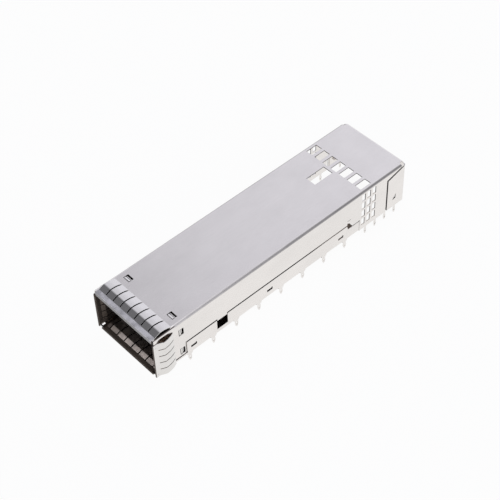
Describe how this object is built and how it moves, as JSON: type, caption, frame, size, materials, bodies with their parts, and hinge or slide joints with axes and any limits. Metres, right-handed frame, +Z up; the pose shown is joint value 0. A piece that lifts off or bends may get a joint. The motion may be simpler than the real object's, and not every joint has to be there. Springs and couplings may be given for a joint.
{
  "type": "pluggable module cage",
  "caption": "Rectangular folded sheet-metal cage for a pluggable optical module, with spring-finger gaskets round its open front, vents near the rear and press-fit board pins.",
  "frame": {"origin": "middle of the cage's plan, in the plane of the board that the cage is pressed into", "axes": "+Z up from the board, +Y along the cage from the port to the rear wall, +X to the right seen from the port"},
  "size_m": [0.0254, 0.0908, 0.0177],
  "materials": {
    "plated_sheet": "satin nickel-plated sheet",
    "spring_strip": "bright plated spring strip"
  },
  "bodies": {
    "root": {"upper_shell": "plated_sheet", "lower_tray": "plated_sheet", "top_gasket": "spring_strip", "bottom_gasket": "spring_strip", "left_gasket": "spring_strip", "right_gasket": "spring_strip"}
  },
  "joints": []
}
